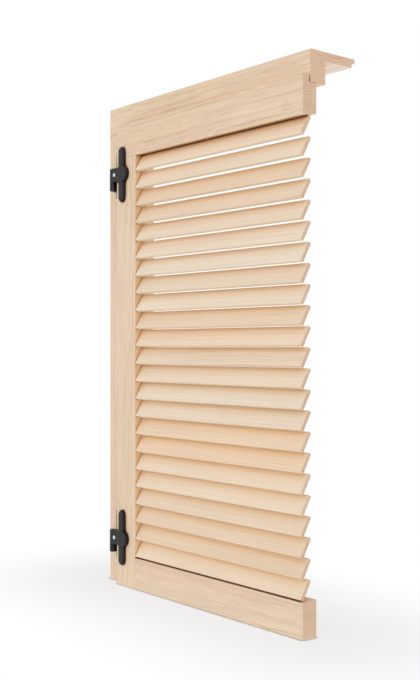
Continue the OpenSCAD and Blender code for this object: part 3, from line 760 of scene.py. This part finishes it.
class StageLook(bpy.types.PropertyGroup):
    """Camera, floor and light."""

    camera_place: FloatVectorProperty(
        name="Camera", description="Place of the camera", subtype="TRANSLATION",
        default=(1.5511, -1.29605, 0.49488),
    )
    camera_turn: FloatProperty(
        name="Turn", description="Turn of the camera about the vertical", subtype="ANGLE",
        default=math.radians(50.40),
    )
    focal_pixels: FloatProperty(
        name="Focal length", description="Focal length in pixels of the photograph's frame",
        subtype="PIXEL", default=1039.5, min=100.0,
    )
    horizon: FloatProperty(
        name="Horizon", description="Row of the horizon in the photograph's frame",
        subtype="PIXEL", default=347.19,
    )
    floor_colour: tint("Floor", "Colour of the floor", (0.87, 0.91, 0.95))
    floor_size: measure("Floor size", "Half the width of the floor", 6000.0, 1000.0, 50000.0)
    floor_white: slider("Floor white", "Share of plain white in the floor at the part's foot", 0.63)
    contact_reach: measure("Contact reach", "Reach of the part's contact shadow", 9.0, 1.0, 200.0)
    contact_colour: tint("Contact", "Colour of the floor in the contact shadow", (0.30, 0.26, 0.23))
    fade_start: measure("Fade start", "Distance at which the floor starts to fade", 20.0, 0.0, 5000.0)
    fade_end: measure("Fade end", "Distance at which the floor is white", 420.0, 0.0, 5000.0)
    dome: FloatProperty(
        name="Dome", description="Level of the light from all round", default=0.62, min=0.0, max=2.0,
    )
    key: FloatProperty(
        name="Key light", description="Strength of the key light", default=1.22, min=0.0, max=10.0,
    )
    key_from: FloatVectorProperty(
        name="Key from", description="Direction that the key light comes from", subtype="DIRECTION",
        default=(0.55, -0.82, 0.12),
    )
    fill: FloatProperty(
        name="Fill light", description="Strength of the fill light", default=1.10, min=0.0, max=10.0,
    )
    fill_from: FloatVectorProperty(
        name="Fill from", description="Direction that the fill light comes from", subtype="DIRECTION",
        default=(0.00, 0.50, -0.87),
    )
    spread: FloatProperty(
        name="Spread", description="Spread of the lamps, for soft shadows", subtype="ANGLE",
        default=math.radians(50.0),
    )


class ShutterLook(bpy.types.PropertyGroup):
    """All the settings of the shutter's looks."""

    softwood: PointerProperty(name="Softwood", description="Settings of the softwood", type=SoftwoodLook)
    dowel: PointerProperty(name="Dowels", description="Settings of the dowels", type=DowelLook)
    iron: PointerProperty(name="Hinges", description="Settings of the black hinges", type=IronLook)
    steel: PointerProperty(name="Fasteners", description="Settings of the fasteners", type=SteelLook)
    stage: PointerProperty(name="Stage", description="Settings of the studio", type=StageLook)


class SHUTTER_OT_frame_timbers(bpy.types.Operator):
    """Finish the head, the jamb and the two linings in softwood"""

    bl_idname = "shutter.frame_timbers"
    bl_label = "Frame Timbers"

    def execute(self, context):
        for seed, (node, cut) in enumerate(FRAME_TIMBERS.items(), 1):
            timber_finish(node, cut, context.scene.shutter.softwood, seed)
        return {"FINISHED"}


class SHUTTER_OT_leaf_timbers(bpy.types.Operator):
    """Finish the stile and the two rails in softwood"""

    bl_idname = "shutter.leaf_timbers"
    bl_label = "Leaf Timbers"

    def execute(self, context):
        for seed, (node, cut) in enumerate(LEAF_TIMBERS.items(), len(FRAME_TIMBERS) + 1):
            timber_finish(node, cut, context.scene.shutter.softwood, seed)
        return {"FINISHED"}


class SHUTTER_OT_slats(bpy.types.Operator):
    """Finish the slats in softwood, each with its own figure and tone"""

    bl_idname = "shutter.slats"
    bl_label = "Slats"

    def execute(self, context):
        look = context.scene.shutter.softwood
        centre = middle(SLATS[len(SLATS) // 2])
        pith = (centre.y, centre.z)
        material = softwood("slat_softwood", look, "X", pith, 0, look.slat_lively, slat_lottery)
        for node in SLATS:
            coated(node, material)
        return {"FINISHED"}


class SHUTTER_OT_dowels(bpy.types.Operator):
    """Finish the dowels in turned hardwood"""

    bl_idname = "shutter.dowels"
    bl_label = "Dowels"

    def execute(self, context):
        material = turned_hardwood("dowel_hardwood", context.scene.shutter.dowel)
        for node in DOWELS:
            coated(node, material)
        return {"FINISHED"}


class SHUTTER_OT_hinge_irons(bpy.types.Operator):
    """Coat the hinge leaves, the pintles and their washers, and make the straps' crowned bars"""

    bl_idname = "shutter.hinge_irons"
    bl_label = "Hinge Irons"

    def execute(self, context):
        look = context.scene.shutter.iron
        material = powder_black("hinge_black", look)
        for node in IRONS:
            coated(node, material)
        for hinge in HINGES:
            node = f"{hinge}_strap"
            low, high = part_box(node)
            disc_low, disc_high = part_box(f"{hinge}_hinge_leaf")
            disc_radius = (disc_high.z - disc_low.z) / 2.0
            lap = {
                "radius": disc_radius + look.lap_play,
                "offset": disc_high.x - disc_radius - middle(node).x,
                "arm": look.knuckle_height / 2.0 + look.lap_play,
                "rise": middle(f"{hinge}_hinge_leaf").z - middle(node).z,
            }
            size = (high.x - low.x, high.z - low.z, high.y - low.y)
            points, faces = strap_rings(size, lap, look)
            points = points + (middle(node).x, high.y, middle(node).z)
            new_piece(f"{hinge}_strap_bar", points, faces, material, "leaf", "black_iron", node)
        return {"FINISHED"}


class SHUTTER_OT_lock_screws(bpy.types.Operator):
    """Make the lock screws on the hinge arms, with hexagon sockets"""

    bl_idname = "shutter.lock_screws"
    bl_label = "Lock Screws"

    def execute(self, context):
        look = context.scene.shutter.steel
        low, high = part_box("lock_screws")
        head, shank = (high.x - low.x) / 2.0, look.lock_shank / 2.0
        tall = look.lock_head
        corner = look.lock_socket / math.sqrt(3.0)
        seat = low.y + tall
        profile = [
            *rows(SHANK_END, shank, shank, seat - high.y),
            (shank, 0.0, 0.0),
            *rows(LOCK_RIM, head, head),
            *rows(LOCK_HEAD, head, tall),
            *rows(LOCK_SOCKET, corner, tall),
        ]
        places = [((low.x + high.x) / 2.0, seat, middle(f"{hinge}_hinge_leaf").z) for hinge in HINGES]
        points, faces = set_out(turned(profile, hexagon, look.sides), places, -1.0)
        material = zinc_bright("lock_screw_zinc", look)
        new_piece("lock_screw_heads", points, faces, material, "leaf", "bright_steel", "lock_screws")
        return {"FINISHED"}


class SHUTTER_OT_bolts(bpy.types.Operator):
    """Make the bolts that hold the hinges through the stile, with hexagon sockets"""

    bl_idname = "shutter.bolts"
    bl_label = "Bolts"

    def execute(self, context):
        look = context.scene.shutter.steel
        material = zinc_bright("bolt_zinc", look)
        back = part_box("stile")[1].y
        for node, (name, iron) in BOLT_SETS.items():
            low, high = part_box(node)
            head, shank = (high.x - low.x) / 2.0, look.bolt_shank / 2.0
            tall = high.y - back
            corner = look.bolt_socket / math.sqrt(3.0)
            profile = [
                *rows(SHANK_END, shank, shank, low.y - back),
                (shank, 0.0, 0.0),
                *rows(BOLT_RIM, head, head),
                *rows(BOLT_HEAD, head, tall),
                *rows(BOLT_MOUTH, corner, tall),
                *rows(BOLT_FLOOR, corner, tall, tall - look.socket_depth),
            ]
            heights = [middle(f"{hinge}_{iron}").z for hinge in HINGES]
            reach = (high.z - low.z) / 2.0 - head - (heights[0] - heights[1]) / 2.0
            offsets = (-reach, reach) if reach > head else (0.0,)
            places = [((low.x + high.x) / 2.0, back, z + offset) for z in heights for offset in offsets]
            points, faces = set_out(turned(profile, hexagon, look.sides), places, 1.0)
            new_piece(name, points, faces, material, "leaf", "bright_steel", node)
        return {"FINISHED"}


class SHUTTER_OT_pintle_screws(bpy.types.Operator):
    """Make the countersunk screws of the pintle plates, with cross recesses"""

    bl_idname = "shutter.pintle_screws"
    bl_label = "Pintle Screws"

    def execute(self, context):
        look = context.scene.shutter.steel
        low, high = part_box("pintle_screws")
        head, shank = look.screw_head / 2.0, look.screw_shank / 2.0
        cone = head - shank
        profile = [
            *rows(SCREW_POINT, shank, shank, low.y - high.y),
            (shank, -cone, 0.0),
            *rows(SCREW_HEAD, head, cone),
            *rows(SCREW_CROSS, look.recess / 2.0, head),
        ]
        heights = [middle(f"{hinge}_pintle").z for hinge in HINGES]
        reach = (high.z - low.z - abs(heights[0] - heights[1])) / 2.0 - head
        columns = (low.x + head, high.x - head)
        places = [(x, low.y, z + offset) for z in heights for x in columns for offset in (-reach, reach)]
        points, faces = set_out(turned(profile, cross, look.sides), places, -1.0)
        material = zinc_bright("pintle_screw_zinc", look)
        new_piece("pintle_screw_set", points, faces, material, "frame", "bright_steel", "pintle_screws")
        return {"FINISHED"}


class SHUTTER_OT_stage(bpy.types.Operator):
    """Set up the pale floor, the soft light and the camera"""

    bl_idname = "shutter.stage"
    bl_label = "Stage"

    def execute(self, context):
        look = context.scene.shutter.stage
        context.scene.view_settings.view_transform = "Standard"
        self.floor(look)
        self.dome(context.scene, look)
        self.lamp("key_light", look.key, look.key_from, look.spread)
        self.lamp("fill_light", look.fill, look.fill_from, look.spread)
        self.camera(context.scene, look)
        return {"FINISHED"}

    @staticmethod
    def seen(sheet):
        """One for rays on which the white surround shows: from the camera, by gloss or through glass."""
        path = sheet.node("ShaderNodeLightPath")
        either = sheet.math("MAXIMUM", path.out("Is Camera Ray"), path.out("Is Glossy Ray"))
        return sheet.math("MAXIMUM", either, path.out("Is Transmission Ray"))

    def floor_paint(self, look):
        """Paint that turns white by a smooth step of the distance to the part's foot, a line along X."""
        material = bpy.data.materials.new("floor_paint")
        sheet = NodeSheet(material)
        place = sheet.node("ShaderNodeTexCoord").out("Object")
        spot = sheet.split(place)
        beyond = sheet.math("MAXIMUM", sheet.math("ABSOLUTE", spot.out("X")) - CAD_BOX[1][0], 0.0)
        reach = sheet.math("SQRT", beyond * beyond + spot.out("Y") * spot.out("Y"))
        far = sheet.smooth(reach, look.fade_start, look.fade_end)
        fade = look.floor_white + far * (1.0 - look.floor_white)
        contact = sheet.smooth(sheet.hidden(look.contact_reach), *CONTACT_STEP)
        bare = sheet.scaled(look.floor_colour[:], 1.0 + sheet.swing(place, SPECK) * SPECK_TONE)
        paint = sheet.node("ShaderNodeBsdfPrincipled", None, {
            "Base Color": sheet.mix(contact, bare, opaque(look.contact_colour)),
            "Roughness": FLOOR_ROUGHNESS,
            "Specular IOR Level": FLOOR_GLOSS,
        })
        white = sheet.node("ShaderNodeEmission", None, {"Color": WHITE, "Strength": 1.0})
        share = fade * (1.0 - contact) * self.seen(sheet)
        sheet.surface(sheet.node("ShaderNodeMixShader", None, {0: share, 1: paint, 2: white}))
        return material

    def floor(self, look):
        """A level square under the part."""
        half = look.floor_size
        corners = [(-half, -half, 0.0), (half, -half, 0.0), (half, half, 0.0), (-half, half, 0.0)]
        mesh = bpy.data.meshes.new("studio_floor")
        mesh.from_pydata(corners, [], [(0, 1, 2, 3)])
        mesh.materials.append(self.floor_paint(look))
        floor = bpy.data.objects.new("studio_floor", mesh)
        floor.visible_diffuse = False
        floor.visible_shadow = False
        bpy.context.scene.collection.objects.link(floor)

    def dome(self, scene, look):
        """Even light from all round; where it is seen it is white."""
        scene.world = bpy.data.worlds.new("studio_dome")
        sheet = NodeSheet(scene.world, "ShaderNodeOutputWorld")
        strength = look.dome + self.seen(sheet) * (1.0 - look.dome)
        sheet.surface(sheet.node("ShaderNodeBackground", None, {"Color": WHITE, "Strength": strength}))

    @staticmethod
    def lamp(name, strength, source, spread):
        """A distant lamp that shines from a direction."""
        light = bpy.data.lights.new(name, "SUN")
        light.energy = strength
        light.angle = spread
        lamp = bpy.data.objects.new(name, light)
        lamp.rotation_euler = source.to_track_quat("Z", "Y").to_euler()
        bpy.context.scene.collection.objects.link(lamp)

    @staticmethod
    def camera(scene, look):
        """A level camera, with its frame shifted so that the horizon falls on its row."""
        data = bpy.data.cameras.new("photo_camera")
        data.sensor_width = SENSOR
        data.lens = look.focal_pixels * SENSOR / max(IMAGE_W, IMAGE_H)
        data.shift_y = (look.horizon - IMAGE_H / 2.0) / max(IMAGE_W, IMAGE_H)
        camera = bpy.data.objects.new("photo_camera", data)
        camera.location = look.camera_place
        camera.rotation_euler = (math.pi / 2.0, 0.0, look.camera_turn)
        scene.collection.objects.link(camera)
        scene.camera = camera


class SHUTTER_PT_looks(bpy.types.Panel):
    """The shutter's settings and steps"""

    bl_idname = "SHUTTER_PT_looks"
    bl_label = "Louvred Shutter"
    bl_space_type = "VIEW_3D"
    bl_region_type = "UI"
    bl_category = "Shutter"

    def draw(self, context):
        shutter = context.scene.shutter
        for title, group, steps in PANEL_ROWS:
            box = self.layout.box()
            box.label(text=title)
            look = getattr(shutter, group)
            for name in look.bl_rna.properties.keys():
                if name not in ("rna_type", "name"):
                    box.prop(look, name)
            for step in steps:
                box.operator(step.bl_idname)


TIMBER_STEPS = (SHUTTER_OT_frame_timbers, SHUTTER_OT_leaf_timbers, SHUTTER_OT_slats)
STEEL_STEPS = (SHUTTER_OT_lock_screws, SHUTTER_OT_bolts, SHUTTER_OT_pintle_screws)
PANEL_ROWS = (
    ("Stage", "stage", (SHUTTER_OT_stage,)),
    ("Softwood", "softwood", TIMBER_STEPS),
    ("Dowels", "dowel", (SHUTTER_OT_dowels,)),
    ("Hinges", "iron", (SHUTTER_OT_hinge_irons,)),
    ("Fasteners", "steel", STEEL_STEPS),
)
LOOKS = (SoftwoodLook, DowelLook, IronLook, SteelLook, StageLook, ShutterLook)
CLASSES = (*LOOKS, *(step for row in PANEL_ROWS for step in row[2]), SHUTTER_PT_looks)


def register():
    for made in CLASSES:
        bpy.utils.register_class(made)
    bpy.types.Scene.shutter = PointerProperty(
        name="Shutter", description="Settings of the louvred shutter", type=ShutterLook,
    )


def unregister():
    del bpy.types.Scene.shutter
    for made in reversed(CLASSES):
        bpy.utils.unregister_class(made)


def main():
    register()
    bpy.ops.shutter.stage()
    bpy.ops.shutter.frame_timbers()
    bpy.ops.shutter.leaf_timbers()
    bpy.ops.shutter.slats()
    bpy.ops.shutter.dowels()
    bpy.ops.shutter.hinge_irons()
    bpy.ops.shutter.lock_screws()
    bpy.ops.shutter.bolts()
    bpy.ops.shutter.pintle_screws()


if __name__ == "__main__":
    main()
